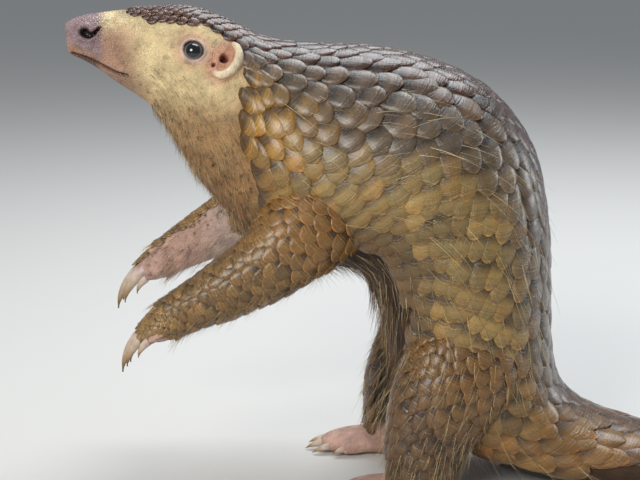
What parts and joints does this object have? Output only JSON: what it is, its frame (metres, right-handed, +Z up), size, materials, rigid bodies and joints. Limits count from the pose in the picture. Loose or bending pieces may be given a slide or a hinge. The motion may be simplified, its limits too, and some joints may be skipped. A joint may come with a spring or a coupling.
{
  "type": "pangolin figure",
  "caption": "Life-size Sunda pangolin standing upright on its hind feet and tail, back arched, with overlapping horny scales and long digging claws on its raised forefeet.",
  "frame": {"origin": "on the floor, under the centre of the animal's bounding box", "axes": "+X from the nose towards the tail, +Y to the animal's right, +Z up"},
  "size_m": [0.6158, 0.1536, 0.2942],
  "materials": {
    "scales": "horn scales, olive tan to dark red-brown, smooth and slightly glossy with fine growth lines and paler rims",
    "skin": "soft bare skin, cream to pinkish, moist at the nose",
    "paw_skin": "bare pinkish grey skin of the feet, finely wrinkled",
    "claw": "worn horn, ivory grey with amber brown tips",
    "eye": "wet black eye, very glossy"
  },
  "bodies": {
    "root": {"ear_left": "skin", "ear_right": "skin", "eye_left": "eye", "eye_right": "eye", "foreclaw_left_1": "claw", "foreclaw_left_2": "claw", "foreclaw_left_3": "claw", "foreclaw_left_4": "claw", "foreclaw_left_5": "claw", "foreclaw_right_1": "claw", "foreclaw_right_2": "claw", "foreclaw_right_3": "claw", "foreclaw_right_4": "claw", "foreclaw_right_5": "claw", "forefoot_left": "paw_skin", "forefoot_right": "paw_skin", "foreleg_left": "scales", "foreleg_right": "scales", "head": "skin", "hindclaw_left_1": "claw", "hindclaw_left_2": "claw", "hindclaw_left_3": "claw", "hindclaw_left_4": "claw", "hindclaw_left_5": "claw", "hindclaw_right_1": "claw", "hindclaw_right_2": "claw", "hindclaw_right_3": "claw", "hindclaw_right_4": "claw", "hindclaw_right_5": "claw", "hindfoot_left": "paw_skin", "hindfoot_right": "paw_skin", "hindleg_left": "scales", "hindleg_right": "scales", "neck": "scales", "tail_base": "scales", "tail_middle": "scales", "tail_tip": "scales", "torso_front": "scales", "torso_rear": "scales"}
  },
  "joints": []
}
